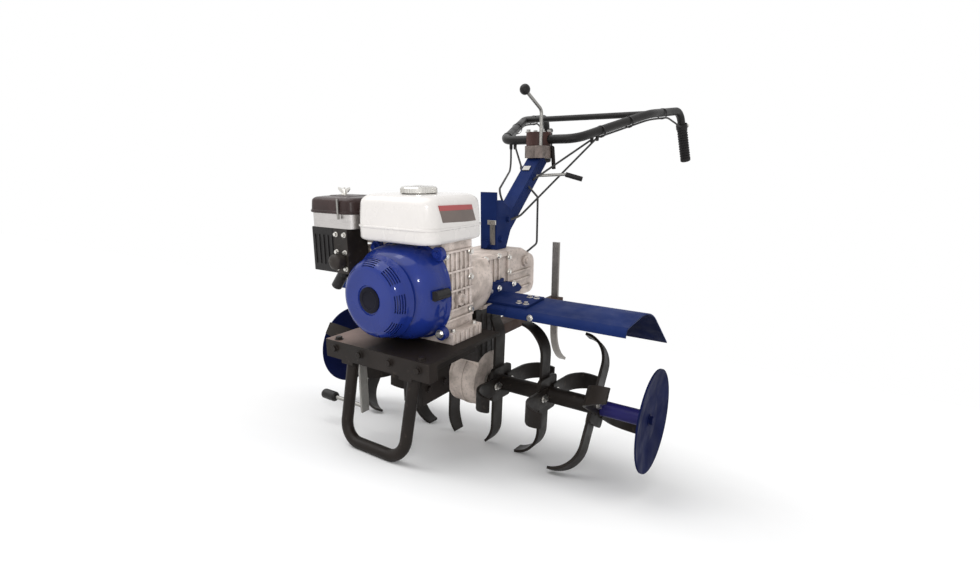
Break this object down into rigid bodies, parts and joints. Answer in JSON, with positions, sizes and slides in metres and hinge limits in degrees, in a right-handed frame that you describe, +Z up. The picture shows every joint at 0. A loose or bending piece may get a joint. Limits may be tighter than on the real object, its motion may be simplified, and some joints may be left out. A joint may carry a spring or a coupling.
{
  "type": "power tiller",
  "caption": "Walk-behind power tiller: front petrol engine, cast gearbox on a rotor of curled tines with end discs, sheet fenders, leaning column with swivelling handlebar, depth stake.",
  "frame": {"origin": "on the ground, under the middle of the parked machine's box", "axes": "+X to the operator's left, +Y to the rear towards the handlebar, +Z up"},
  "size_m": [1.008, 1.2184, 1.1964],
  "materials": {
    "gloss_blue": "gloss",
    "sheet_blue": "semi-gloss",
    "disc_blue": "semi-gloss",
    "white_tank": "gloss",
    "black_steel": "satin",
    "cast_alloy": "cast",
    "black_plastic": "satin",
    "grip_rubber": "matt",
    "bright_metal": "bright",
    "grey_steel": "bare",
    "brown_steel": "dull"
  },
  "bodies": {
    "chassis": {"fan_cover": "gloss_blue", "starter_dome": "gloss_blue", "column": "sheet_blue", "column_foot": "sheet_blue", "left_fender": "sheet_blue", "right_fender": "sheet_blue", "left_fender_bracket": "sheet_blue", "right_fender_bracket": "sheet_blue", "fuel_tank": "white_tank", "engine_bed": "black_steel", "bumper": "black_steel", "lock_lever": "black_steel", "gearbox_housing": "cast_alloy", "clutch_housing": "cast_alloy", "cylinder_head": "cast_alloy", "column_head": "cast_alloy", "carburettor": "cast_alloy", "engine_block": "cast_alloy", "air_cleaner": "black_plastic", "intake_elbow": "black_plastic", "starter_grip": "black_plastic", "inlet_stub": "black_plastic", "gear_knob": "black_plastic", "side_lever_grip": "black_plastic", "front_lever_grip": "black_plastic", "control_cables": "black_plastic", "gear_cable": "black_plastic", "fuel_cap": "bright_metal", "air_cleaner_base": "bright_metal", "gear_lever": "grey_steel", "side_lever": "grey_steel", "front_lever": "grey_steel", "muffler": "grey_steel", "hitch_bracket": "brown_steel"},
    "rotor": {"axle_shaft": "grey_steel", "left_tines": "black_steel", "right_tines": "black_steel", "left_disc": "disc_blue", "right_disc": "disc_blue"},
    "handlebar": {"handlebar": "black_steel", "handlebar_clamp": "black_steel", "left_grip": "grip_rubber", "right_grip": "grip_rubber", "left_hand_lever": "grey_steel", "right_hand_lever": "grey_steel", "arm_cables": "black_plastic"},
    "stake": {"stake": "grey_steel"}
  },
  "joints": [
    {"name": "rotor_spin", "type": "hinge", "parent": "chassis", "child": "rotor", "pos_m": [0, -0.1211, 0.17836], "axis": [1, 0, 0], "continuous": true},
    {"name": "handlebar_swivel", "type": "hinge", "parent": "chassis", "child": "handlebar", "pos_m": [0, -0.00102, 0.89043], "axis": [0, -0.3206, 0.9472], "range_deg": [-25, 25], "deforming": ["control_cables"]},
    {"name": "stake_slide", "type": "slide", "parent": "chassis", "child": "stake", "axis": [0, -0.3206, 0.9472], "range_m": [-0.15, 0.06]}
  ]
}
